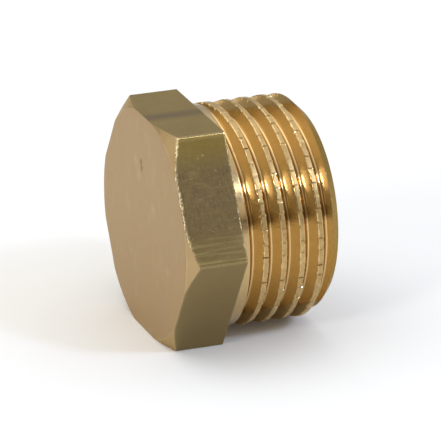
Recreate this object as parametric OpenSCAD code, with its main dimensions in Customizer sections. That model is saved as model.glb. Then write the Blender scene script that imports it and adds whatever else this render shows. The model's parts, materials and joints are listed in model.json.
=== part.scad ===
// Hexagon-headed brass plug with a half-inch parallel pipe thread, turned from bar in one piece.
// It lies on one flat of its head, with its axis along X: the head at -X, the open end at +X.
// The origin is on the axis, in the plane of the head's underside. Sizes are in millimetres.

/* [Head] */
// Width of the hexagon across its flats
head_flats = 21; // [21:0.5:30]
// Thickness of the head
head_h = 5.5; // [4.5:0.25:10]
// How far the flat circle on the head's face reaches past the middle of each side
face_reach = 0.25; // [0.05:0.05:0.6]
// Angle of the chamfer to the head's face
face_chamfer_angle = 32; // [15:1:45]
// How much is taken off the six sharp corners of the bar
corner_break = 0.04; // [0.02:0.01:0.2]

/* [Thread] */
// Diameter over the crests
thread_d = 20.955; // [16:0.005:24]
// Distance from one crest to the next along the axis
pitch = 1.814; // [1.2:0.001:2.4]
// Angle between the two flanks of the groove
flank_angle = 55; // [50:1:65]
// Width of the flat that is left along each crest
crest_flat = 0.45; // [0.2:0.05:0.6]
// Width of the flat at the bottom of the groove
root_flat = 0.25; // [0.1:0.05:0.4]
// Length of the shank, from the head's underside to the open end
shank_l = 10; // [8:0.5:20]
// Gap between the head's underside and the nearest edge of the thread cut
head_gap = 0.05; // [0.05:0.05:2]
// Where the groove runs in, as an angle about the axis from +Y towards +Z
run_in_at = 48; // [0:1:359]
// Part of a turn over which the groove deepens to its full depth
run_in_turn = 75; // [30:5:180]
// Angle of the lead chamfer on the open end to the axis
lead_angle = 45; // [30:1:60]
// How far below the groove's bottom the lead chamfer ends
lead_relief = 0.1; // [0.05:0.05:0.5]

/* [Bore] */
// Wall left between the bore and the bottom of the groove
wall = 2.4; // [1.5:0.1:4]
// Metal left between the point of the bore and the head's face
floor_t = 3.3; // [2:0.1:6]
// Angle of the drill point at the bottom of the bore
drill_angle = 118; // [100:1:150]
// Width of the chamfer round the mouth of the bore
mouth_chamfer = 0.5; // [0.2:0.1:1]

/* [Hidden] */

// Smoothness of the turned surfaces
$fn = 120;

// Head: the bar's hexagon and the turning that takes its face and corners down
head_corner_r = head_flats / 2 / cos(30);
head_rim_r = head_corner_r - corner_break;
face_r = head_flats / 2 + face_reach;
face_chamfer_h = (head_rim_r - face_r) * tan(face_chamfer_angle);
bar_overcut = 1;

// Thread: the groove's section, from the crests down
crest_r = thread_d / 2;
flank_slope = tan(flank_angle / 2);
groove_depth = (pitch - crest_flat - root_flat) / 2 / flank_slope;
root_r = crest_r - groove_depth;
end_r = root_r - lead_relief;
lead_l = (crest_r - end_r) / tan(lead_angle);

// Thread cutter: it stands proud of the crests by half of what would close up a crest
cutter_proud = crest_flat / 4 / flank_slope;
cutter_h = groove_depth + cutter_proud;
cutter_top_w = root_flat + 2 * cutter_h * flank_slope;
cutter_lift = groove_depth + cutter_proud / 4;
cutter_first_x = head_gap + cutter_top_w / 2;
cutter_last_x = shank_l + cutter_top_w;
cutter_steps_per_turn = 60;
cutter_step = 360 / cutter_steps_per_turn;
cutter_steps = ceil((cutter_last_x - cutter_first_x) / pitch * cutter_steps_per_turn);

// Bore: a drilled blind hole from the open end
bore_r = root_r - wall;
bore_point_x = floor_t - head_h;
bore_wall_x = bore_point_x + bore_r / tan(drill_angle / 2);
mouth_overcut = 1;

// Height of the cutter above the groove's full depth, after it has gone round by an angle
function lift(angle) = cutter_lift * max(0, 1 - angle / run_in_turn);

// One corner of the cutter's section after an angle: dx from its middle, h above its bottom
function section_point(angle, dx, h) =
    let (r = root_r + lift(angle) + h)
    let (turned = run_in_at + angle)
    [cutter_first_x + pitch * angle / 360 + dx, r * cos(turned), r * sin(turned)];

// The four corners of the cutter's section after an angle, bottom first
function section(angle) = [
    section_point(angle, -root_flat / 2, 0),
    section_point(angle, root_flat / 2, 0),
    section_point(angle, cutter_top_w / 2, cutter_h),
    section_point(angle, -cutter_top_w / 2, cutter_h)
];

// Two triangles of the cutter's skin, between a section and the next, along one side
function skin(step, side) =
    let (a = 4 * step + side)
    let (b = 4 * step + (side + 1) % 4)
    [[a, b + 4, b], [a, a + 4, b + 4]];

// Turns a shape that was revolved about Z, so that its axis lies along X
module along_x() {
    rotate([0, 90, 0]) children();
}

// Everything that is turned: the chamfered head, the shank at the crests' diameter and its lead chamfer
module turned_blank() {
    along_x() rotate_extrude() polygon([
        [0, -head_h],
        [face_r, -head_h],
        [head_rim_r, face_chamfer_h - head_h],
        [head_rim_r, 0],
        [crest_r, 0],
        [crest_r, shank_l - lead_l],
        [end_r, shank_l],
        [0, shank_l]
    ]);
}

// What lies outside the hexagon bar along the head, with a flat of the hexagon underneath
module outside_hexagon() {
    translate([-head_h, 0, 0]) along_x() difference() {
        translate([0, 0, -bar_overcut]) cylinder(r = head_corner_r + bar_overcut, h = head_h + bar_overcut);
        translate([0, 0, -2 * bar_overcut]) rotate(30)
            cylinder(r = head_corner_r, h = head_h + 4 * bar_overcut, $fn = 6);
    }
}

// The right-hand groove that the thread cutter sweeps out, running in just under the head
module thread_groove() {
    last = 4 * cutter_steps;
    points = [for (step = [0:cutter_steps]) each section(step * cutter_step)];
    sides = [for (step = [0:cutter_steps - 1], side = [0:3]) each skin(step, side)];
    first_cap = [0, 1, 2, 3];
    last_cap = [last + 3, last + 2, last + 1, last];
    polyhedron(points, concat([first_cap], sides, [last_cap]));
}

// The drilled hole with its pointed bottom and its chamfered mouth
module bore() {
    along_x() rotate_extrude() polygon([
        [0, bore_point_x],
        [bore_r, bore_wall_x],
        [bore_r, shank_l - mouth_chamfer],
        [bore_r + mouth_chamfer + mouth_overcut, shank_l + mouth_overcut],
        [0, shank_l + mouth_overcut]
    ]);
}

module plug() {
    color("#b8935a") difference() {
        turned_blank();
        outside_hexagon();
        thread_groove();
        bore();
    }
}

plug();
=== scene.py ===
import json
import math
import random

import bmesh
import bpy
from mathutils import Matrix, Vector
from mathutils.geometry import delaunay_2d_cdt


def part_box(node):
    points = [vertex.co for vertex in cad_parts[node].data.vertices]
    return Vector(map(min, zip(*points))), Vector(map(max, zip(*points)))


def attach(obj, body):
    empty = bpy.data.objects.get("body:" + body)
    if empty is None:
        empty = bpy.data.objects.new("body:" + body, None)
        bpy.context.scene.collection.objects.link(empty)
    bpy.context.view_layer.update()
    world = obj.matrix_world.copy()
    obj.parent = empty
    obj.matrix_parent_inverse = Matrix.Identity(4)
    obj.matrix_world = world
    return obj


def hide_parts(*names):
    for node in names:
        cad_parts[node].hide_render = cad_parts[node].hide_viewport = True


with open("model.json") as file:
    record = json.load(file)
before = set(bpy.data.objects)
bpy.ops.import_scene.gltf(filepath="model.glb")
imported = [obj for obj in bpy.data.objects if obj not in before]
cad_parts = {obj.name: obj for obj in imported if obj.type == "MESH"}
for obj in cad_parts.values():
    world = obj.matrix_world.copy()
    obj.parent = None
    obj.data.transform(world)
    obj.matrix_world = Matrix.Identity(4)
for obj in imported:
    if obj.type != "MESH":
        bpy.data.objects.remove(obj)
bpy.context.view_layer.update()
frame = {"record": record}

MM = 0.001
FULL_TURN = 2 * math.pi
plug_low, plug_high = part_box("plug")
mount_dims = {mount["name"]: mount["dims"] for mount in frame["record"]["mounts"]}

# Head: the box of the solid gives its thickness and the hexagon's size
HEAD_H = -plug_low.x / MM
APOTHEM = plug_high.z / MM
RIM_R = plug_high.y / MM
SIDES = 6
SIDE_TURN = math.radians(60)
HALF_SIDE = math.radians(30)
FACE_REACH = 0.25
FACE_R = APOTHEM + FACE_REACH
FACE_CHAMFER = math.radians(32)
EDGE_ROUND = 0.07
EDGE_SUPPORT = 0.14
FACE_ROUND_STEPS = 2
ROUND_STEPS = 3
# Most of the step from the crests out to the flat that the back edge's rounding may take
BACK_ROUND_SHARE = 0.8
# Half the angle of the narrow turned land on each of the six long edges
LAND_HALF = HALF_SIDE - math.acos(APOTHEM / RIM_R)
# Columns of the mesh round a long edge, and how near to them another may stand, in halves of the land
LAND_COLUMNS = (-2.5, -1.3, -0.8, 0, 0.8, 1.3, 2.5)
NEAREST_COLUMN = 0.3
# Rows of the mesh on the chamfer and on the middle of a flat, as parts of their lengths
CHAMFER_ROWS = (0.1, 0.5, 0.9)
FLAT_ROWS = (0.35, 0.65)

# Thread: the same groove as in the solid, with a rounded bottom and broken crest edges
SHANK_L = plug_high.x / MM
CREST_R = mount_dims["thread"]["r_mm"]
PITCH = 1.814
FLANK_ANGLE = 55
FLANK = math.radians(FLANK_ANGLE / 2)
CREST_FLAT = 0.45
ROOT_FLAT = 0.25
GROOVE_DEPTH = (PITCH - CREST_FLAT - ROOT_FLAT) / 2 / math.tan(FLANK)
ROOT_R = CREST_R - GROOVE_DEPTH
APEX_R = ROOT_R - ROOT_FLAT / 2 / math.tan(FLANK)
ROOT_ROUND = (ROOT_R - APEX_R) / (1 / math.sin(FLANK) - 1)
ROOT_RISE = ROOT_ROUND * (1 - math.sin(FLANK))
ROOT_STEPS = 3
HEAD_GAP = 0.05
GROOVE_FIRST_X = HEAD_GAP + PITCH / 2 - CREST_FLAT / 4
CUTTER_PROUD = CREST_FLAT / 4 / math.tan(FLANK)
RUN_IN_AT = math.radians(48)
RUN_IN_TURN = math.radians(75)
RUN_IN_LIFT = GROOVE_DEPTH + CUTTER_PROUD / 4
LEAD_RELIEF = 0.1
END_R = ROOT_R - LEAD_RELIEF
CREST_BREAK = 0.03
# Most of a flank's depth that a broken crest edge may take
BREAK_SHARE = 0.8
FLANK_HOLLOW = 0.020
FLANK_PARTS = (0.04, 0.25, 0.5, 0.75, 0.94)
# Turns of the net past each end of the shank, which the ends cut off
SPARE_TURNS = 2

# Marks that a straight-toothed roller left across the crests, and the ragged blocks between them
NOTCHES = 50
NOTCH_STRAY = 0.12
NOTCH_HALF = math.radians(0.40)
NOTCH_FLOOR = math.radians(0.22)
NOTCH_DEPTH = 0.12
NOTCH_MEAN = 0.5
NOTCH_SPREAD = 0.35
NOTCH_LEAST = 0.1
LAND_STEPS = 6
BLOCK_DROP = 0.04
RIM_CHIP = 0.13

# Dents in the face: place (y, z), radius and depth
DENTS = [(0.85, 5.84, 0.40, 0.08), (0.68, 5.30, 0.42, 0.075), (-2.96, -1.28, 0.26, 0.02)]
DENTS += [(-0.48, 0.68, 0.20, 0.015), (-4.88, -4.62, 0.24, 0.02)]
DENT_STRETCH = 1.3
# Depth in a dent at which its painted shade is full
DENT_SHADE_DEPTH = 0.09
# Light rubs on the face, two beside the deep dents and two lower down: place (y, z) and radius
RUBS = [(1.44, 4.44, 0.9), (2.2, 5.5, 0.9), (-5.96, -2.53, 0.7), (-2.32, 2.24, 0.8)]

# Net of the face: its spacing, how many spacings it keeps off the rim, how many radii off a dent
FACE_SPACING = 0.42
RIM_CLEAR = 1.2
DENT_CLEAR = 1.6
# Rings of points round a dent: their number, the points on the first, their reach in radii and their stray
DENT_RINGS = 4
DENT_POINTS = 6
DENT_REACH = 1.35
DENT_STRAY = 0.2

# Points of the face's net nearer than this, in millimetres, are one
FACE_MERGE = 1e-6
# Points of the mesh nearer than this are one, and edges shorter than this go, both in metres
WELD = 2e-8
SHORTEST = 1e-9
# Edges of the mesh that are sharper than this stay sharp in the shading
SHARP_ANGLE = math.radians(38)

# Bore: a drilled blind hole
BORE_WALL = 2.4
BORE_FLOOR = 3.3
DRILL_ANGLE = 118
BORE_R = ROOT_R - BORE_WALL
BORE_POINT_X = BORE_FLOOR - HEAD_H
BORE_WALL_X = BORE_POINT_X + BORE_R / math.tan(math.radians(DRILL_ANGLE / 2))
MOUTH_CHAMFER = 0.5
# Rows of the mesh on the bore's wall and on its pointed bottom, as parts of their lengths
BORE_WALL_ROWS = (0.1, 0.5, 1)
BORE_POINT_ROWS = (0.3, 0.6, 0.9)

# Finishes, in the order of the mesh's material slots
FACE, CHAMFER, SKIN, TURNED, CREST, CUT, DRILLED, LEAD = range(8)

# Three flats of the head with marks of their own, as the angles of their normals: the scuffed one, one with
# a dark band of painted reflection, and one darkened with painted shade
SCUFFED_FLAT = math.radians(150)
DARK_BAND_FLAT = math.radians(90)
SHADED_FLAT = math.radians(210)

# Depth of the burrs along the head's edges
SCUFFED_BURR = 0.07
PLAIN_BURR = 0.008
# Rubbing of the head's edges, from 0 to 1, which also sets a painted highlight along them: uneven round the
# scuffed flat, faint round the others
WEAR_FADES_AT = (math.radians(164), math.radians(177))
WEAR_LEAST = 0.45
WEAR_VARIES = 0.55
PLAIN_WEAR = 0.1
SPECKLED_WEAR = 0.8
BACK_WEAR = 0.6
# Painted highlight along the rim of the face, where it meets the chamfer
FACE_LINE_HIGHLIGHT = 0.4

# Chances: a draw to a power is mostly small and seldom large
chance = random.Random(21)
speckle = random.Random(5)


def hexagon_radius(angle):
    """Distance from the axis to the hexagon's surface, with its six long edges turned down to the rim."""
    off_flat = (angle % SIDE_TURN) - HALF_SIDE
    return min(RIM_R, APOTHEM / math.cos(off_flat))


def notch_middles():
    """Angles of the notches round one turn, a little unevenly spaced."""
    step = FULL_TURN / NOTCHES
    strays = [chance.uniform(-NOTCH_STRAY, NOTCH_STRAY) for number in range(NOTCHES)]
    return [step * (number + 0.5 + stray) for number, stray in enumerate(strays)]


def apart(first, second):
    """The angle between two directions about the axis, the short way round."""
    return abs((first - second + math.pi) % FULL_TURN - math.pi)


def station_angles(middles):
    """Angles of the mesh's columns: at every notch, along the lands between, and round the long edges."""
    angles = []
    for number, middle in enumerate(middles):
        angles += [middle - NOTCH_HALF, middle - NOTCH_FLOOR, middle + NOTCH_FLOOR, middle + NOTCH_HALF]
        after = middles[(number + 1) % NOTCHES] + (FULL_TURN if number + 1 == NOTCHES else 0)
        land_start = middle + NOTCH_HALF
        land = after - NOTCH_HALF - land_start
        angles += [land_start + land * part / LAND_STEPS for part in range(1, LAND_STEPS)]
    offsets = [LAND_HALF * part for part in LAND_COLUMNS]
    corners = [SIDE_TURN * corner + offset for corner in range(SIDES) for offset in offsets]
    nearest = LAND_HALF * NEAREST_COLUMN
    kept = [angle for angle in angles if all(apart(angle, corner) > nearest for corner in corners)]
    return sorted(angle % FULL_TURN for angle in kept + corners)


def arc(centre, radius, start, stop, steps):
    """Points (x, r) of an arc between two directions, given as angles from -X towards the outside."""
    turned = [start + (stop - start) * step / steps for step in range(steps + 1)]
    return [(centre[0] - radius * math.cos(t), centre[1] + radius * math.sin(t)) for t in turned]


def between(first, last, parts):
    """Points on the straight line from first to last, at the given parts of it."""
    return [(first[0] + (last[0] - first[0]) * p, first[1] + (last[1] - first[1]) * p) for p in parts]


def edge_wear_and_highlight(angle):
    """How rubbed the scuffed flat's edge is at an angle, which also sets its painted highlight: unevenly,
    and less towards its lower end.
    """
    fade_from, fade_to = WEAR_FADES_AT
    fade = max(0.0, min(1.0, (fade_to - angle) / (fade_to - fade_from)))
    return PLAIN_WEAR + (1 - PLAIN_WEAR) * fade * (WEAR_LEAST + WEAR_VARIES * chance.random())


def head_section(angle):
    """The head's outline in the plane at an angle: rows (x, r, finish, edge) from the face to the neck."""
    outer = hexagon_radius(angle)
    scuffed = abs(angle - SCUFFED_FLAT) < HALF_SIDE
    burr = SCUFFED_BURR if scuffed else PLAIN_BURR
    face_end = (-HEAD_H + EDGE_ROUND, FACE_R - EDGE_ROUND * math.tan(FACE_CHAMFER / 2))
    rise = EDGE_ROUND + math.sin(FACE_CHAMFER) * (outer - EDGE_ROUND - FACE_R)
    flat_start = (-HEAD_H + rise / math.cos(FACE_CHAMFER), outer - EDGE_ROUND)
    if flat_start[0] < face_end[0]:
        face_end = (-HEAD_H + EDGE_ROUND, outer - EDGE_ROUND)
        flat_start = face_end
    back_round = min(EDGE_ROUND, BACK_ROUND_SHARE * (outer - CREST_R))
    first = arc(face_end, EDGE_ROUND, 0, FACE_CHAMFER, FACE_ROUND_STEPS)
    second = arc(flat_start, EDGE_ROUND, FACE_CHAMFER, math.pi / 2, ROUND_STEPS)
    second = second[:1] + [(x, r - burr * chance.random()) for x, r in second[1:-1]] + second[-1:]
    back = arc((-back_round, outer - back_round), back_round, math.pi / 2, math.pi, ROUND_STEPS)
    support = EDGE_SUPPORT / (back[0][0] - second[-1][0])
    flat = between(second[-1], back[0], (support, 2 * support, *FLAT_ROWS, 1 - support))
    wear = edge_wear_and_highlight(angle) if scuffed else PLAIN_WEAR
    speckled = SPECKLED_WEAR * wear * speckle.random() ** 2 if scuffed else 0.0
    rows = [(*point, FACE, FACE_LINE_HIGHLIGHT) for point in first[:-1]]
    rows += [(*first[-1], CHAMFER, FACE_LINE_HIGHLIGHT)]
    rows += [(*point, CHAMFER, 0.0) for point in between(first[-1], second[0], CHAMFER_ROWS)]
    rows += [(*point, CHAMFER if step == 0 else SKIN, wear) for step, point in enumerate(second)]
    rows += [(*point, SKIN, speckled if step == 0 else 0.0) for step, point in enumerate(flat)]
    for point in back:
        rows.append((*point, SKIN, BACK_WEAR * chance.random() ** 3 if scuffed else PLAIN_WEAR))
    rows += [(*between(back[-1], (0, CREST_R), (0.5,))[0], TURNED, 0.0)]
    return rows


class Crest:
    """One column of a crest: its finish, how far notch and block take it down, and its chipped rims."""

    def __init__(self, finish, notch, drop, chips):
        self.finish = finish
        self.notch = notch
        self.low = notch * NOTCH_DEPTH + drop
        self.chips = chips

    def half(self, edge, side, flank_depth):
        """Points (dx, r) from the land to the flank's top on one side, off the groove's middle."""
        chip = self.chips[side] * RIM_CHIP
        drop = min(max(CREST_BREAK + chip, self.low + CREST_BREAK / 2), BREAK_SHARE * flank_depth)
        broken = (edge - drop * math.tan(FLANK), CREST_R - drop)
        rim = (edge + CREST_BREAK + chip / 2, CREST_R - self.low)
        land = ((edge + PITCH / 2) / 2 + chip / 4, CREST_R - self.low)
        return [land, rim, broken]


def groove_half(bottom):
    """Half the groove's width between the crests, where its bottom is so far below them."""
    if bottom <= 0:
        return 0.0
    if bottom < ROOT_RISE:
        return math.sqrt(bottom * (2 * ROOT_ROUND - bottom))
    return ROOT_FLAT / 2 + bottom * math.tan(FLANK)


def hollowed(points):
    """Points along a flank, sunk a little so that the flank is hollow."""
    sunk = []
    for (dx, r), part in zip(points, FLANK_PARTS):
        depth = FLANK_HOLLOW * 4 * part * (1 - part)
        sunk.append((dx + depth * math.cos(FLANK), r - depth * math.sin(FLANK)))
    return sunk


def groove_bottom(lift, edge):
    """Points (dx, r) of the groove's rounded bottom, kept within the groove's edges."""
    centre_r = APEX_R + lift + ROOT_ROUND / math.sin(FLANK)
    reach = math.pi / 2 - FLANK
    root = []
    for step in range(-ROOT_STEPS, ROOT_STEPS + 1):
        t = reach * step / ROOT_STEPS
        across = max(-edge, min(edge, ROOT_ROUND * math.sin(t)))
        root.append((across, min(CREST_R, centre_r - ROOT_ROUND * math.cos(t))))
    return root


def groove_section(lift, before, after):
    """One pitch of the thread: rows (dx, r, finish, notch) from the middle of the crest before the groove
    to just short of the middle of the crest after it."""
    bottom = GROOVE_DEPTH - lift
    edge = groove_half(bottom)
    root = groove_bottom(lift, edge)
    sides = []
    for side, crest in enumerate((before, after)):
        half = crest.half(edge, side, max(0.0, bottom - ROOT_RISE))
        broken = half[-1]
        if broken[0] > root[-1][0]:
            half += hollowed(between(broken, root[-1], FLANK_PARTS))
        else:
            half += [broken] * len(FLANK_PARTS)
        finishes = [crest.finish] * 2 + [CUT] * (len(half) - 2)
        notches = [crest.notch, crest.notch, crest.notch / 2] + [0.0] * len(FLANK_PARTS)
        sides.append([(dx, r, finish, notch) for (dx, r), finish, notch in zip(half, finishes, notches)])
    left = [(-dx, r, finish, notch) for dx, r, finish, notch in sides[0]]
    middle = [(dx, r, CUT, 0.0) for dx, r in root]
    right = list(reversed(sides[1]))
    return [(-PITCH / 2, CREST_R - before.low, before.finish, before.notch)] + left + middle + right


def lead_r(x):
    """Radius that the lead chamfer leaves at a place along the axis."""
    return min(CREST_R, END_R + SHANK_L - x)


def trimmed(rows):
    """A section cut off by the lead chamfer and the two ends, with a row moved to where each cut begins."""
    over = [r - lead_r(x) for x, r, finish, notch in rows]
    cut = []
    for number, (x, r, finish, notch) in enumerate(rows):
        if x <= 0:
            cut.append((0.0, CREST_R, TURNED, 0.0))
            continue
        if x >= SHANK_L:
            cut.append((SHANK_L, END_R, LEAD, 0.0))
            continue
        if over[number] > 0:
            beside = [n for n in (number - 1, number + 1) if 0 <= n < len(rows)]
            below = [n for n in beside if over[n] < 0 and rows[n][0] > 0]
            if len(below) == 1:
                part = over[number] / (over[number] - over[below[0]])
                x += (rows[below[0]][0] - x) * part
            else:
                finish = LEAD
            r = lead_r(x)
        cut.append((x, r, finish, notch))
    return cut


class PlugMesh:
    """Gathers the points and faces of the one-piece body."""

    def __init__(self):
        self.points = []
        self.edges = []
        self.notches = []
        self.faces = []
        self.finishes = []

    def add(self, x, r, angle, edge=0.0, notch=0.0):
        return self.add_at(x, r * math.cos(angle), r * math.sin(angle), edge, notch)

    def add_at(self, x, y, z, edge=0.0, notch=0.0):
        self.points.append(Vector((x, y, z)) * MM)
        self.edges.append(edge)
        self.notches.append(notch)
        return len(self.points) - 1

    def face(self, corners, finish):
        self.faces.append(corners)
        self.finishes.append(finish)

    def ring(self, x, r, stations, edge=0.0):
        return [self.add(x, r, angle, edge) for angle in stations]

    def band(self, outer, inner, finish):
        """Faces between two rings that have the same stations."""
        count = len(outer)
        for number in range(count):
            after = (number + 1) % count
            self.face((outer[number], outer[after], inner[after], inner[number]), finish)


def add_head(body, stations):
    """The head from its face's rim to its underside. Returns the ring round the face."""
    columns = [head_section(angle) for angle in stations]
    rings = []
    for row in range(len(columns[0])):
        ring = []
        for angle, column in zip(stations, columns):
            x, r, finish, edge = column[row]
            ring.append(body.add(x, r, angle, edge))
        rings.append(ring)
    for row in range(len(rings) - 1):
        body.band(rings[row + 1], rings[row], columns[0][row + 1][2])
    neck = body.ring(0.0, CREST_R, stations)
    body.band(neck, rings[-1], TURNED)
    return rings[0]


def dented_x(y, z):
    """Where the face is at a place on it, with its dents."""
    sunk = 0.0
    for dent_y, dent_z, radius, depth in DENTS:
        off = math.hypot(y - dent_y, (z - dent_z) / DENT_STRETCH) / radius
        if off < 1:
            sunk = max(sunk, depth * (0.5 + 0.5 * math.cos(math.pi * off)))
    return -HEAD_H + sunk


def face_net():
    """Points (y, z) spread evenly over the face, but off its rim and off the dents."""
    net = []
    steps = int(APOTHEM / FACE_SPACING)
    for row in range(-steps, steps + 1):
        for column in range(-steps, steps + 1):
            y = (column + 0.5 * (row % 2)) * FACE_SPACING
            z = row * FACE_SPACING * math.cos(HALF_SIDE)
            clear = all(math.hypot(y - dent[0], z - dent[1]) > DENT_CLEAR * dent[2] for dent in DENTS)
            if clear and math.hypot(y, z) < APOTHEM - RIM_CLEAR * FACE_SPACING:
                net.append(Vector((y, z)))
    return net


def dent_rings():
    """Points (y, z) in finer rings round every dent."""
    rings = []
    for dent_y, dent_z, radius, depth in DENTS:
        for ring in range(1, DENT_RINGS + 1):
            around = DENT_POINTS * ring
            out = DENT_REACH * radius * ring / DENT_RINGS
            for step in range(around):
                turn = FULL_TURN * (step + speckle.uniform(-DENT_STRAY, DENT_STRAY)) / around
                rings.append(Vector((dent_y + out * math.cos(turn), dent_z + out * math.sin(turn))))
    return rings


def add_face(body, rim):
    """The flat face inside its rim, as an even net that is finer round the dents pressed into it."""
    rim_points = [body.points[index] for index in rim]
    flat_points = [Vector((p.y, p.z)) / MM for p in rim_points]
    count = len(flat_points)
    flat_points += face_net()
    flat_points += dent_rings()
    loop = [(number, (number + 1) % count) for number in range(count)]
    made = delaunay_2d_cdt(flat_points, loop, [], 1, FACE_MERGE)
    indices = []
    for point in made[0]:
        x = dented_x(point.x, point.y)
        # How deep the point lies in a dent, which sets the painted shade there
        dent_shade = min(1.0, (x + HEAD_H) / DENT_SHADE_DEPTH)
        indices.append(body.add_at(x, point.x, point.y, 0.0, dent_shade))
    for triangle in made[2]:
        corners = [indices[number] for number in triangle]
        body.face(tuple(reversed(corners)), FACE)


class CrestWear:
    """Draws, once for each crest, its notches' depths, its blocks' drops and its rims' chips."""

    def __init__(self):
        self.drawn = {}

    def value(self, kind, crest, place, draw):
        key = (kind, crest, place)
        if key not in self.drawn:
            self.drawn[key] = draw()
        return self.drawn[key]

    def notch(self, crest, number):
        def draw():
            return max(NOTCH_LEAST, min(1.0, chance.gauss(NOTCH_MEAN, NOTCH_SPREAD)))
        return self.value("notch", crest, number, draw)

    def drop(self, crest, number):
        return self.value("drop", crest, number, lambda: BLOCK_DROP * chance.random() ** 2)

    def chips(self, crest, station):
        return self.value("chips", crest, station, lambda: (chance.random() ** 3, chance.random() ** 3))


def thread_columns(stations, middles):
    """The sections of the thread, station after station along the helix, as pairs (angle, rows)."""
    last_turn = math.ceil((SHANK_L - GROOVE_FIRST_X) / PITCH) + SPARE_TURNS
    wear = CrestWear()
    columns = []
    for turn in range(-SPARE_TURNS, last_turn):
        for place, station in enumerate(stations):
            swept = station + FULL_TURN * turn - RUN_IN_AT
            lift = RUN_IN_LIFT * max(0.0, min(1.0, 1 - swept / RUN_IN_TURN))
            number = min(range(NOTCHES), key=lambda n: abs(middles[n] - station))
            off = abs(middles[number] - station)
            part = max(0.0, min(1.0, (NOTCH_HALF - off) / (NOTCH_HALF - NOTCH_FLOOR)))
            block = sum(1 for middle in middles if middle < station) % NOTCHES
            crests = []
            for crest in (turn, turn + 1):
                past_the_neck = swept + FULL_TURN * (crest - turn) > FULL_TURN
                if past_the_neck:
                    notch = part * wear.notch(crest, number)
                    made = Crest(CREST, notch, wear.drop(crest, block), wear.chips(crest, place))
                else:
                    made = Crest(TURNED, 0.0, 0.0, (0.0, 0.0))
                crests.append(made)
            section = groove_section(lift, *crests)
            centre = GROOVE_FIRST_X + PITCH * swept / FULL_TURN
            columns.append((station, trimmed([(centre + dx, *rest) for dx, *rest in section])))
    return columns


def add_thread(body, stations, middles):
    """The helical net from the neck to the rim of the open end, whose ends meet the rings there."""
    per_turn = len(stations)
    columns = thread_columns(stations, middles)
    grid = []
    for angle, rows in columns:
        grid.append([body.add(x, r, angle, 0.0, notch) for x, r, finish, notch in rows])
    height = len(grid[0])
    for column in range(len(grid) - 1):
        here = grid[column]
        there = grid[column + 1]
        for row in range(height):
            finish = columns[column][1][row][2]
            if row + 1 < height:
                corners = (here[row], there[row], there[row + 1], here[row + 1])
                finish = max(finish, columns[column][1][row + 1][2])
            elif column + 1 + per_turn < len(grid):
                next_here = grid[column + per_turn][0]
                next_there = grid[column + 1 + per_turn][0]
                corners = (here[row], there[row], next_there, next_here)
            else:
                continue
            body.face(corners, finish)


def add_bore(body, stations):
    """The open end, the chamfered mouth, the wall of the bore and its pointed bottom."""
    mouth = (SHANK_L - MOUTH_CHAMFER, BORE_R)
    wall_end = (BORE_WALL_X, BORE_R)
    tip = (BORE_POINT_X, 0.0)
    rows = [
        (SHANK_L, END_R, LEAD),
        (SHANK_L, END_R - EDGE_SUPPORT, TURNED),
        (SHANK_L, BORE_R + MOUTH_CHAMFER, TURNED),
        (*mouth, TURNED),
    ]
    rows += [(x, r, DRILLED) for x, r in between(mouth, wall_end, BORE_WALL_ROWS)]
    rows += [(x, r, DRILLED) for x, r in between(wall_end, tip, BORE_POINT_ROWS)]
    rings = [body.ring(x, r, stations) for x, r, finish in rows]
    for row in range(len(rings) - 1):
        body.band(rings[row + 1], rings[row], rows[row + 1][2])
    point = body.add(*tip, 0.0)
    last = rings[-1]
    for number in range(len(last)):
        body.face((last[number], point, last[(number + 1) % len(last)]), DRILLED)


def make_plug():
    """The whole body as one closed mesh."""
    middles = notch_middles()
    stations = station_angles(middles)
    body = PlugMesh()
    rim = add_head(body, stations)
    add_face(body, rim)
    add_thread(body, stations, middles)
    add_bore(body, stations)
    mesh = bpy.data.meshes.new("plug_body")
    mesh.from_pydata(body.points, [], body.faces)
    mesh.polygons.foreach_set("material_index", body.finishes)
    # Each point carries how rubbed it is, which also sets the painted highlight on the head's edges, and
    # how deep it lies in a notch or dent, which sets the painted shade there
    for name, values in (("edge", body.edges), ("notch", body.notches)):
        mesh.attributes.new(name, "FLOAT", "POINT").data.foreach_set("value", values)
    net = bmesh.new()
    net.from_mesh(mesh)
    bmesh.ops.remove_doubles(net, verts=net.verts, dist=WELD)
    bmesh.ops.dissolve_degenerate(net, edges=net.edges, dist=SHORTEST)
    bmesh.ops.recalc_face_normals(net, faces=net.faces)
    net.to_mesh(mesh)
    net.free()
    mesh.shade_smooth()
    mesh.set_sharp_from_angle(angle=SHARP_ANGLE)
    plug = bpy.data.objects.new("plug_body", mesh)
    bpy.context.scene.collection.objects.link(plug)
    return plug


# Tints at grazing angles: of the drawn outside and the chamfer, of the lead cut, and of the cut thread
EDGE_TINT = (0.93, 0.87, 0.72, 1)
LEAD_TINT = (0.72, 0.58, 0.34, 1)
CUT_TINT = (0.94, 0.79, 0.58, 1)

# Tones of the finishes, each as its darkest and its lightest
FACE_TONES = ((0.430, 0.294, 0.147), (0.460, 0.316, 0.159))
CHAMFER_TONES = ((0.44, 0.312, 0.155), (0.50, 0.356, 0.178))
SKIN_TONES = ((0.300, 0.221, 0.094), (0.368, 0.267, 0.115))
RIM_TONES = ((0.49, 0.35, 0.172), (0.54, 0.39, 0.194))
CREST_TONES = ((0.41, 0.282, 0.119), (0.59, 0.414, 0.180))
CUT_TONES = ((0.598, 0.434, 0.213), (0.635, 0.462, 0.231))
LEAD_TONES = ((0.31, 0.22, 0.105), (0.37, 0.265, 0.13))
BORE_TONES = ((0.52, 0.37, 0.17), (0.62, 0.45, 0.22))

# Roughness of the finishes, each as its least and its most
FACE_ROUGH = (0.42, 0.56)
CHAMFER_ROUGH = (0.34, 0.44)
SKIN_ROUGH = (0.09, 0.13)
RIM_ROUGH = (0.16, 0.24)
CREST_ROUGH = (0.34, 0.46)
CUT_ROUGH = (0.13, 0.17)
LEAD_ROUGH = (0.26, 0.36)
BORE_ROUGH = (0.28, 0.42)

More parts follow.
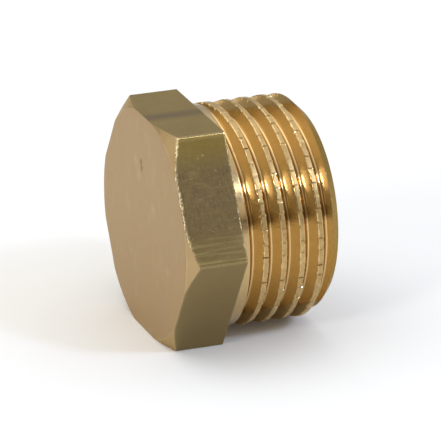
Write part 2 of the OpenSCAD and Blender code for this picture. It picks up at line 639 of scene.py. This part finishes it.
# Tones of the marks
SMUDGE = (0.51, 0.37, 0.205)
RUB = (0.53, 0.385, 0.215)
# Painted shade in the dents of the face
DENT_SHADE = (0.17, 0.11, 0.06)
# Wear and painted highlight along the chamfer's two edges
CHAMFER_EDGE_WEAR_AND_HIGHLIGHT = (0.72, 0.55, 0.31)
WORN_PATCH = (0.26, 0.185, 0.095)
PIT = (0.17, 0.12, 0.07)
SCRATCH_ALONG = (0.40, 0.31, 0.15)
SCRATCH_ACROSS = (0.19, 0.135, 0.075)
LIGHT_LINE = (0.50, 0.395, 0.17)
DARK_LINE = (0.22, 0.165, 0.068)
UPPER_END = (0.342, 0.243, 0.072)
PALE_STRIP = (0.49, 0.365, 0.135)
LAND = (0.37, 0.285, 0.13)
TOP_LAND = (0.25, 0.19, 0.088)
# Painted shade on the flat that faces down
PAINTED_FLAT_SHADE = (0.23, 0.172, 0.082)
# Painted reflection: a dark band along the middle of the top flat
PAINTED_DARK_BAND = (0.215, 0.16, 0.105)
# Painted glint in the light flecks of the flats
SKIN_FLECK_GLINT = (0.72, 0.62, 0.45)
# Light colour on the head's edges: wear, and a painted highlight
EDGE_WEAR_AND_HIGHLIGHT = (0.97, 0.80, 0.48)
CREST_FLECK = (0.78, 0.62, 0.38)
# Painted shade in the notches across the crests
NOTCH_SHADE = (0.20, 0.13, 0.05)

# Usual values of one noise, of two added, of two added with more contrast, and of three added
ONE_NOISE = (0.3, 0.7)
TWO_NOISES = (0.6, 1.4)
TWO_STRONGER = (0.7, 1.3)
THREE_NOISES = (1.1, 1.9)

# Where marks begin and where they are full, in millimetres down the scuffed flat from its middle
BELOW_TOP = (-5.4, -2.4)
ABOVE_LINES = (4.2, 2.6)
LINES = (2.8, 5.2)
UPPER = (-2.6, -5.2)
STRIP = (-5.50, -5.75)
TOP_EDGE = (-4.0, -5.0)
# The same for the two sides of the painted reflection's dark band, as places along Y
DARK_BAND_NEAR = (-1.7, -0.6)
DARK_BAND_FAR = (0.8, -0.1)
# The same for a flat and for the land on a long edge, as depths below their outsides
FLAT_BELOW = (0.10, 0.03)
LAND_BELOW = (0.04, 0.01)
# How far above the root a groove's bottom stays smoothest, and where that ends
BOTTOM_ABOVE = (0.05, 0.3)
BOTTOM_SMOOTHER = 0.06

# A fleck is full over this part of its radius, and in this part of the chosen cells
FLECK_FULL = 0.4
FLECK_SURE = 0.9


class Finish:
    """Builds one brass finish from nodes."""

    def __init__(self, name):
        self.material = bpy.data.materials.new(name)
        self.material.use_nodes = True
        self.tree = self.material.node_tree
        self.shader = self.tree.nodes["Principled BSDF"]
        self.shader.inputs["Metallic"].default_value = 1.0
        place = self.tree.nodes.new("ShaderNodeTexCoord").outputs["Object"]
        scaled = self.node("ShaderNodeVectorMath", operation="SCALE")
        self.link(place, scaled.inputs[0])
        scaled.inputs["Scale"].default_value = 1 / MM
        self.place = scaled.outputs["Vector"]

    def node(self, kind, **settings):
        made = self.tree.nodes.new(kind)
        for key, value in settings.items():
            setattr(made, key, value)
        return made

    def link(self, source, target):
        self.tree.links.new(source, target)

    def stretched(self, x, y, z):
        """Places on the surface in millimetres, with each axis stretched."""
        made = self.node("ShaderNodeVectorMath", operation="MULTIPLY")
        self.link(self.place, made.inputs[0])
        made.inputs[1].default_value = (x, y, z)
        return made.outputs["Vector"]

    def reach(self):
        """Distance from the plug's axis, in millimetres."""
        made = self.node("ShaderNodeVectorMath", operation="LENGTH")
        self.link(self.stretched(0.0, 1.0, 1.0), made.inputs[0])
        return made.outputs["Value"]

    def rings(self, along, out, around):
        """Places as distance along the axis, distance from it, and a slow change round it."""
        parts = self.node("ShaderNodeSeparateXYZ")
        self.link(self.place, parts.inputs[0])
        made = self.node("ShaderNodeCombineXYZ")
        self.link(self.times(parts.outputs["X"], along), made.inputs["X"])
        self.link(self.times(self.reach(), out), made.inputs["Y"])
        self.link(self.times(parts.outputs["Y"], around), made.inputs["Z"])
        return made.outputs[0]

    def times(self, value, factor):
        made = self.node("ShaderNodeMath", operation="MULTIPLY")
        self.link(value, made.inputs[0])
        made.inputs[1].default_value = factor
        return made.outputs[0]

    def joined(self, first, second, operation):
        made = self.node("ShaderNodeMath", operation=operation)
        self.link(first, made.inputs[0])
        self.link(second, made.inputs[1])
        return made.outputs[0]

    def both(self, first, second):
        """The product of two values, such as a mark and the zone that it lies in."""
        return self.joined(first, second, "MULTIPLY")

    def total(self, first, *others):
        """The sum of several values."""
        for other in others:
            first = self.joined(first, other, "ADD")
        return first

    def noise(self, place, scale, detail=3.0, roughness=0.5):
        made = self.node("ShaderNodeTexNoise")
        self.link(place, made.inputs["Vector"])
        made.inputs["Scale"].default_value = scale
        made.inputs["Detail"].default_value = detail
        made.inputs["Roughness"].default_value = roughness
        return made.outputs["Fac"]

    def flecks(self, scale, size, share):
        """1 in the middle of small round flecks and 0 between them. Only a share of the cells has one."""
        made = self.node("ShaderNodeTexVoronoi")
        self.link(self.place, made.inputs["Vector"])
        made.inputs["Scale"].default_value = scale
        parts = self.node("ShaderNodeSeparateColor")
        self.link(made.outputs["Color"], parts.inputs[0])
        chosen = self.ranged(parts.outputs[0], (1 - share, 1 - FLECK_SURE * share))
        return self.both(self.ranged(made.outputs["Distance"], (size, size * FLECK_FULL)), chosen)

    def along(self, direction):
        """Distance along a direction from the origin, in millimetres."""
        made = self.node("ShaderNodeVectorMath", operation="DOT_PRODUCT")
        self.link(self.place, made.inputs[0])
        made.inputs[1].default_value = direction
        return made.outputs["Value"]

    def near(self, place, radius):
        """1 at a place, fading to 0 at a radius from it, in millimetres."""
        made = self.node("ShaderNodeVectorMath", operation="DISTANCE")
        self.link(self.place, made.inputs[0])
        made.inputs[1].default_value = place
        return self.ranged(made.outputs["Value"], (radius, 0.0))

    def on_flat(self, angle):
        """1 on the flat whose normal is at an angle about the axis, and 0 elsewhere."""
        out = self.along((0.0, math.cos(angle), math.sin(angle)))
        return self.ranged(out, [APOTHEM - below for below in FLAT_BELOW])

    def ranged(self, value, span, to_low=0.0, to_high=1.0):
        """A value, changed evenly so that a span of it becomes another, and kept within that."""
        made = self.node("ShaderNodeMapRange")
        self.link(value, made.inputs["Value"])
        made.inputs["From Min"].default_value = span[0]
        made.inputs["From Max"].default_value = span[1]
        made.inputs["To Min"].default_value = to_low
        made.inputs["To Max"].default_value = to_high
        return made.outputs["Result"]

    def tones(self, factor, dark, light):
        """A colour between two tones."""
        made = self.node("ShaderNodeMix", data_type="RGBA")
        self.link(factor, made.inputs["Factor"])
        made.inputs[6].default_value = (*dark, 1)
        made.inputs[7].default_value = (*light, 1)
        return made.outputs[2]

    def overlaid(self, factor, below, tone):
        """A colour with another tone laid over it."""
        made = self.node("ShaderNodeMix", data_type="RGBA")
        self.link(factor, made.inputs["Factor"])
        self.link(below, made.inputs[6])
        made.inputs[7].default_value = (*tone, 1)
        return made.outputs[2]

    def bump(self, height, depth, normal=None):
        """Turns a height from 0 to 1 into relief that is so many millimetres deep."""
        made = self.node("ShaderNodeBump")
        self.link(height, made.inputs["Height"])
        made.inputs["Distance"].default_value = depth * MM
        if normal:
            self.link(normal, made.inputs["Normal"])
        return made.outputs["Normal"]

    def painted(self, name):
        """A value from 0 to 1 that the mesh carries under a name."""
        return self.node("ShaderNodeAttribute", attribute_name=name).outputs["Fac"]

    def tint(self, colour):
        self.shader.inputs["Specular Tint"].default_value = colour

    def finish(self, colour, roughness, normal):
        self.link(colour, self.shader.inputs["Base Color"])
        self.link(roughness, self.shader.inputs["Roughness"])
        self.link(normal, self.shader.inputs["Normal"])
        return self.material


def turned_face():
    """The matte face, with faint turning rings, rub marks, smudges and painted shade in its dents."""
    brass = Finish("brass_turned_face")
    rings = brass.noise(brass.rings(along=6.0, out=9.0, around=0.2), scale=1.0, detail=2.0)
    rubs = brass.noise(brass.stretched(1.0, 0.9, 0.3), scale=0.6, detail=4.0)
    smudges = brass.noise(brass.stretched(1.0, 1.0, 0.55), scale=0.8)
    grain = brass.noise(brass.place, scale=9.0, detail=2.0)
    colour = brass.tones(brass.ranged(rubs, ONE_NOISE), *FACE_TONES)
    colour = brass.overlaid(brass.ranged(smudges, (0.56, 0.70), to_high=0.3), colour, SMUDGE)
    for y, z, radius in RUBS:
        rub = brass.times(brass.near((-HEAD_H, y, z), radius), factor=0.6)
        colour = brass.overlaid(rub, colour, RUB)
    # Painted shade in the dents, darker the deeper
    colour = brass.overlaid(brass.times(brass.painted("notch"), factor=0.7), colour, DENT_SHADE)
    roughness = brass.ranged(brass.total(rubs, grain), TWO_NOISES, *FACE_ROUGH)
    normal = brass.bump(rings, depth=0.004)
    normal = brass.bump(grain, depth=0.006, normal=normal)
    return brass.finish(colour, roughness, normal)


def turned_chamfer():
    """The chamfer round the face, a smoother cut than the face itself."""
    brass = Finish("brass_turned_chamfer")
    rings = brass.noise(brass.rings(along=8.0, out=8.0, around=0.2), scale=1.0, detail=2.0)
    clouds = brass.noise(brass.place, scale=0.7)
    colour = brass.tones(brass.ranged(clouds, ONE_NOISE), *CHAMFER_TONES)
    # Painted highlight along the rim of the face, and wear with a painted highlight on the chamfer's outer
    # edge
    colour = brass.overlaid(brass.painted("edge"), colour, CHAMFER_EDGE_WEAR_AND_HIGHLIGHT)
    roughness = brass.ranged(clouds, ONE_NOISE, *CHAMFER_ROUGH)
    normal = brass.bump(rings, depth=0.003)
    brass.tint(EDGE_TINT)
    return brass.finish(colour, roughness, normal)


def worn_middle(brass, colour, scuffed, across):
    """Dark worn patches, pits and scratches over the middle of the scuffed flat."""
    middle = brass.both(brass.ranged(across, BELOW_TOP), brass.ranged(across, ABOVE_LINES))
    worn = brass.both(middle, scuffed)
    clouds = brass.noise(brass.stretched(0.6, 1.0, 1.0), scale=1.6, detail=4.0, roughness=0.65)
    patches = brass.ranged(clouds, (0.35, 0.65), to_low=0.2, to_high=0.9)
    colour = brass.overlaid(brass.both(worn, patches), colour, WORN_PATCH)
    pits = brass.times(brass.flecks(scale=4.0, size=0.30, share=0.5), factor=0.5)
    colour = brass.overlaid(brass.both(pits, worn), colour, PIT)
    along_bar = brass.noise(brass.stretched(0.12, 1.0, 1.0), scale=6.0, roughness=0.6)
    scratches = brass.ranged(along_bar, (0.54, 0.70), to_high=0.5)
    colour = brass.overlaid(brass.both(scratches, worn), colour, SCRATCH_ALONG)
    across_bar = brass.noise(brass.stretched(1.0, 0.2, 0.2), scale=6.0, roughness=0.6)
    scratches = brass.ranged(across_bar, (0.52, 0.68), to_high=0.6)
    return brass.overlaid(brass.both(scratches, worn), colour, SCRATCH_ACROSS)


def drawn_lines(brass, colour, scuffed, across):
    """Light and dark lines along the bar, low on the scuffed flat."""
    lines = brass.noise(brass.stretched(0.03, 1.0, 1.0), scale=4.0, detail=2.0, roughness=0.6)
    drawn = brass.both(brass.ranged(across, LINES), scuffed)
    light_lines = brass.both(brass.ranged(lines, (0.47, 0.60), to_high=0.85), drawn)
    dark_lines = brass.both(brass.ranged(lines, (0.44, 0.34), to_high=0.3), drawn)
    colour = brass.overlaid(light_lines, colour, LIGHT_LINE)
    return brass.overlaid(dark_lines, colour, DARK_LINE)


def upper_end(brass, colour, scuffed, across):
    """The olive upper end of the scuffed flat, with a pale strip along its very edge."""
    upper = brass.both(brass.ranged(across, UPPER, to_high=0.9), scuffed)
    colour = brass.overlaid(upper, colour, UPPER_END)
    strip = brass.both(brass.ranged(across, STRIP, to_high=0.55), scuffed)
    return brass.overlaid(strip, colour, PALE_STRIP)


def shade_and_dark_band(brass, colour):
    """One flat darkened with painted shade, and a dark band of painted reflection along another."""
    # The lower flat, which faces down, darkened with painted shade
    flat_shade = brass.times(brass.on_flat(SHADED_FLAT), factor=0.75)
    colour = brass.overlaid(flat_shade, colour, PAINTED_FLAT_SHADE)
    # A painted reflection: a dark band along the middle of the top flat
    place = brass.along((0.0, 1.0, 0.0))
    band = brass.both(brass.ranged(place, DARK_BAND_NEAR), brass.ranged(place, DARK_BAND_FAR))
    return brass.overlaid(brass.both(band, brass.on_flat(DARK_BAND_FLAT)), colour, PAINTED_DARK_BAND)


def bar_skin():
    """The drawn flats of the hexagon: short streaks along the bar, marks on three of the flats, one of them
    painted shade and one a painted reflection, paler lands on the long edges, light flecks of painted glint
    that are thickest on the scuffed flat, and rubbed edges with a painted highlight."""
    brass = Finish("brass_bar_skin")
    streaks = brass.noise(brass.stretched(0.2, 1.0, 1.0), scale=5.0, roughness=0.6)
    clouds = brass.noise(brass.place, scale=0.3, detail=2.0)
    grain = brass.noise(brass.stretched(0.5, 1.0, 1.0), scale=9.0, detail=2.0, roughness=0.6)
    mixed = brass.total(streaks, grain, clouds)
    scuffed = brass.on_flat(SCUFFED_FLAT)
    across = brass.along((0.0, -math.sin(SCUFFED_FLAT), math.cos(SCUFFED_FLAT)))
    colour = brass.tones(brass.ranged(mixed, THREE_NOISES), *SKIN_TONES)
    colour = worn_middle(brass, colour, scuffed, across)
    colour = drawn_lines(brass, colour, scuffed, across)
    colour = upper_end(brass, colour, scuffed, across)
    land = brass.ranged(brass.reach(), [RIM_R - below for below in LAND_BELOW])
    colour = brass.overlaid(brass.times(land, factor=0.8), colour, LAND)
    top_land = brass.both(land, brass.ranged(across, TOP_EDGE, to_high=0.9))
    colour = brass.overlaid(top_land, colour, TOP_LAND)
    colour = shade_and_dark_band(brass, colour)
    fine_flecks = brass.times(brass.flecks(scale=4.5, size=0.26, share=0.5), factor=0.21)
    large_flecks = brass.times(brass.flecks(scale=2.0, size=0.14, share=0.07), factor=0.45)
    flecks = brass.joined(large_flecks, fine_flecks, "MAXIMUM")
    # The flecks' light colour is a painted glint, ten times stronger on the scuffed flat
    flecks = brass.both(flecks, brass.ranged(scuffed, (0.0, 1.0), to_low=0.1))
    colour = brass.overlaid(brass.times(flecks, factor=0.6), colour, SKIN_FLECK_GLINT)
    rubbed = brass.noise(brass.place, scale=7.0, detail=2.0, roughness=0.6)
    edge = brass.both(brass.painted("edge"), brass.ranged(rubbed, (0.40, 0.55), to_low=0.35))
    # Rubbed edges, lightened with a painted highlight
    colour = brass.overlaid(edge, colour, EDGE_WEAR_AND_HIGHLIGHT)
    roughness = brass.ranged(mixed, THREE_NOISES, *SKIN_ROUGH)
    rougher_edge = brass.times(edge, factor=0.24)
    rougher_land = brass.times(land, factor=0.16)
    rougher_flecks = brass.times(flecks, factor=0.3)
    roughness = brass.total(roughness, rougher_edge, rougher_land, rougher_flecks)
    normal = brass.bump(streaks, depth=0.0003)
    normal = brass.bump(grain, depth=0.0006, normal=normal)
    normal = brass.bump(flecks, depth=0.003, normal=normal)
    brass.tint(EDGE_TINT)
    return brass.finish(colour, roughness, normal)


def turned_rim():
    """The neck, the underside and the open end, with fine turning rings."""
    brass = Finish("brass_turned_rim")
    rings = brass.noise(brass.rings(along=11.0, out=9.0, around=0.25), scale=1.0)
    grain = brass.noise(brass.place, scale=3.0)
    colour = brass.tones(brass.ranged(grain, ONE_NOISE), *RIM_TONES)
    roughness = brass.ranged(grain, ONE_NOISE, *RIM_ROUGH)
    normal = brass.bump(rings, depth=0.0015)
    return brass.finish(colour, roughness, normal)


def rolled_crest():
    """The tops of the thread: matte blocks, mottled and flecked, with painted shade in the notches between
    them.
    """
    brass = Finish("brass_rolled_crest")
    patches = brass.noise(brass.place, scale=1.6, detail=2.0)
    grain = brass.noise(brass.place, scale=7.0)
    flecks = brass.flecks(scale=3.2, size=0.22, share=0.4)
    colour = brass.tones(brass.ranged(brass.total(patches, grain), TWO_STRONGER), *CREST_TONES)
    colour = brass.overlaid(brass.times(flecks, factor=0.5), colour, CREST_FLECK)
    # Painted shade in the notches, darker the deeper
    colour = brass.overlaid(brass.times(brass.painted("notch"), factor=0.45), colour, NOTCH_SHADE)
    roughness = brass.ranged(grain, ONE_NOISE, *CREST_ROUGH)
    normal = brass.bump(grain, depth=0.007)
    normal = brass.bump(flecks, depth=0.012, normal=normal)
    return brass.finish(colour, roughness, normal)


def cut_thread():
    """The bright flanks and bottoms of the thread, with streaks along the cut and the bottoms smoothest."""
    brass = Finish("brass_cut_thread")
    streaks = brass.noise(brass.rings(along=0.0, out=12.0, around=0.3), scale=1.0)
    grain = brass.noise(brass.place, scale=2.0)
    colour = brass.tones(brass.ranged(grain, ONE_NOISE), *CUT_TONES)
    roughness = brass.ranged(brass.total(streaks, grain), TWO_NOISES, *CUT_ROUGH)
    bottom_span = [ROOT_R + above for above in BOTTOM_ABOVE]
    bottom = brass.ranged(brass.reach(), bottom_span, to_low=BOTTOM_SMOOTHER, to_high=0.0)
    roughness = brass.joined(roughness, bottom, "SUBTRACT")
    normal = brass.bump(streaks, depth=0.001)
    brass.tint(CUT_TINT)
    return brass.finish(colour, roughness, normal)


def lead_cut():
    """The lead chamfer on the open end, a coarser and darker cut."""
    brass = Finish("brass_lead_cut")
    rings = brass.noise(brass.rings(along=9.0, out=9.0, around=0.25), scale=1.0)
    grain = brass.noise(brass.place, scale=3.0)
    colour = brass.tones(brass.ranged(grain, ONE_NOISE), *LEAD_TONES)
    roughness = brass.ranged(grain, ONE_NOISE, *LEAD_ROUGH)
    normal = brass.bump(rings, depth=0.004)
    brass.tint(LEAD_TINT)
    return brass.finish(colour, roughness, normal)


def drilled_wall():
    """The wall and the bottom of the bore, with the rings that the drill left."""
    brass = Finish("brass_drilled_bore")
    rings = brass.noise(brass.rings(along=5.0, out=5.0, around=0.2), scale=1.0)
    grain = brass.noise(brass.place, scale=4.0)
    colour = brass.tones(brass.ranged(grain, ONE_NOISE), *BORE_TONES)
    roughness = brass.ranged(rings, ONE_NOISE, *BORE_ROUGH)
    normal = brass.bump(rings, depth=0.02)
    return brass.finish(colour, roughness, normal)


plug = make_plug()
finishes = [turned_face(), turned_chamfer(), bar_skin(), turned_rim()]
finishes += [rolled_crest(), cut_thread(), drilled_wall(), lead_cut()]
for made in finishes:
    plug.data.materials.append(made)
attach(plug, "root")
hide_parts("plug")

# Studio: a wide pale floor under the plug, which sweeps up a little along its front and ends nearer behind
FLOOR_HALF = 3.0
FLOOR_FRONT = 1.5
FLOOR_BACK = 0.45
SWEEP_H = 0.12
PAPER_COLOUR = (0.82, 0.82, 0.81, 1)
PAPER_ROUGH = 0.9
PAPER_GLOW_COLOUR = (1.0, 1.0, 0.99, 1)
PAPER_GLOW = 0.02
floor_mesh = bpy.data.meshes.new("floor")
floor_z = plug_low.z
floor_rows = [(-FLOOR_FRONT - SWEEP_H, floor_z + SWEEP_H), (-FLOOR_FRONT, floor_z), (FLOOR_BACK, floor_z)]
floor_points = [(side * FLOOR_HALF, y, z) for y, z in floor_rows for side in (-1, 1)]
floor_mesh.from_pydata(floor_points, [], [(0, 1, 3, 2), (2, 3, 5, 4)])
floor = bpy.data.objects.new("floor", floor_mesh)
bpy.context.scene.collection.objects.link(floor)
floor_paint = bpy.data.materials.new("floor_paper")
floor_paint.use_nodes = True
paper = floor_paint.node_tree.nodes["Principled BSDF"]
paper.inputs["Base Color"].default_value = PAPER_COLOUR
paper.inputs["Roughness"].default_value = PAPER_ROUGH
paper.inputs["Specular IOR Level"].default_value = 0.0
paper.inputs["Emission Color"].default_value = PAPER_GLOW_COLOUR
paper.inputs["Emission Strength"].default_value = PAPER_GLOW
floor_mesh.materials.append(floor_paint)


def towards(azimuth, elevation):
    """Direction from the plug: azimuth from -Y towards +X, elevation above the floor, in degrees."""
    a = math.radians(azimuth)
    e = math.radians(elevation)
    return Vector((math.sin(a) * math.cos(e), -math.cos(a) * math.cos(e), math.sin(e)))


def soft_light(name, azimuth, elevation, distance, width, height, power, colour):
    """A round or oval soft box that faces the plug."""
    data = bpy.data.lights.new(name, "AREA")
    data.shape = "ELLIPSE"
    data.size = width
    data.size_y = height
    data.energy = power
    data.color = colour
    lamp = bpy.data.objects.new(name, data)
    lamp.location = towards(azimuth, elevation) * distance
    lamp.rotation_euler = towards(azimuth, elevation).to_track_quat("Z", "Y").to_euler()
    lamp.visible_camera = False
    bpy.context.scene.collection.objects.link(lamp)


# Lamps: name, azimuth, elevation, distance, width, height, power and colour
LAMPS = [
    ("key", 31, 41.5, 0.8, 0.09, 0.09, 0.13, (1.0, 0.97, 0.93)),
    ("front", 0, 47, 0.8, 0.45, 0.12, 0.2, (1.0, 0.98, 0.95)),
    ("left_front", -57, 28, 0.8, 0.17, 0.17, 1.4, (1.0, 0.96, 0.88)),
    ("left", 241, 16, 0.8, 0.3, 0.3, 0.3, (1.0, 0.98, 0.95)),
    ("back", 203, 0, 0.8, 0.6, 0.2, 0.055, (1.0, 0.97, 0.93)),
    ("side", 41, 40, 0.8, 0.1, 0.15, 1.5, (0.52, 0.68, 1.0)),
    ("side_glow", 52, 36, 0.8, 0.3, 0.3, 0.44, (0.75, 0.8, 1.0)),
    ("low_glow", 22, 23, 0.8, 0.18, 0.22, 0.055, (1.0, 0.95, 0.88)),
    ("fill_0", 218, 60, 1.0, 1.25, 1.25, 2.55, (1.0, 0.99, 0.97)),
    ("fill_1", 270, 52, 1.0, 1.25, 1.25, 2.55, (1.0, 0.99, 0.97)),
]
for lamp_values in LAMPS:
    soft_light(*lamp_values)

# Sky: dim behind the camera and brighter overhead and at the back, as stops of height and glow
SKY_UP = Vector((0.5, 0.3, 1.0)).normalized()
SKY_LOW = -0.3
SKY_STOPS = [(-0.3, 0.23), (0.08, 0.22), (0.20, 0.30), (0.30, 0.46), (0.44, 0.53)]
SKY_STOPS += [(0.56, 0.58), (0.69, 0.62), (0.85, 0.95), (1.0, 1.25)]
# Up to this height the sky is warm
WARM_UP_TO = 0.2
WARM_GREEN = 0.87
WARM_BLUE = 0.66
world = bpy.data.worlds.new("studio")
world.use_nodes = True
sky_nodes = world.node_tree.nodes
sky_links = world.node_tree.links
sky_place = sky_nodes.new("ShaderNodeTexCoord")
sky_height = sky_nodes.new("ShaderNodeVectorMath")
sky_height.operation = "DOT_PRODUCT"
sky_height.inputs[1].default_value = SKY_UP
sky_links.new(sky_place.outputs["Generated"], sky_height.inputs[0])
sky_ramp = sky_nodes.new("ShaderNodeValToRGB")
for number, (height, glow) in enumerate(SKY_STOPS):
    stops = sky_ramp.color_ramp.elements
    stop = stops[number] if number < len(stops) else stops.new(1.0)
    stop.position = (height - SKY_LOW) / (1 - SKY_LOW)
    warm = height <= WARM_UP_TO
    stop.color = (glow, glow * WARM_GREEN, glow * WARM_BLUE, 1) if warm else (glow, glow, glow, 1)
sky_part = sky_nodes.new("ShaderNodeMapRange")
sky_part.inputs["From Min"].default_value = SKY_LOW
sky_links.new(sky_height.outputs["Value"], sky_part.inputs["Value"])
sky_links.new(sky_part.outputs["Result"], sky_ramp.inputs["Fac"])
sky_links.new(sky_ramp.outputs["Color"], sky_nodes["Background"].inputs["Color"])
bpy.context.scene.world = world
bpy.context.scene.view_settings.view_transform = "Standard"

# Camera: the photograph's viewing angle and framing
AIM = Vector((1.0857, -2.4804, 0.3415)) * MM
VIEW_AZIMUTH = -21.7375
VIEW_ELEVATION = 21.5757
VIEW_ROLL = -0.447
VIEW_DISTANCE = 0.42227
LENS = 373.79
SENSOR_W = 36.0
NEAREST_SEEN = 0.01
FARTHEST_SEEN = 20.0
camera_data = bpy.data.cameras.new("camera")
camera_data.lens = LENS
camera_data.sensor_width = SENSOR_W
camera_data.clip_start = NEAREST_SEEN
camera_data.clip_end = FARTHEST_SEEN
camera = bpy.data.objects.new("camera", camera_data)
back = towards(VIEW_AZIMUTH, VIEW_ELEVATION)
turned = back.to_track_quat("Z", "Y").to_matrix() @ Matrix.Rotation(math.radians(-VIEW_ROLL), 3, "Z")
camera.matrix_world = Matrix.Translation(AIM + back * VIEW_DISTANCE) @ turned.to_4x4()
bpy.context.scene.collection.objects.link(camera)
bpy.context.scene.camera = camera

bpy.context.view_layer.update()
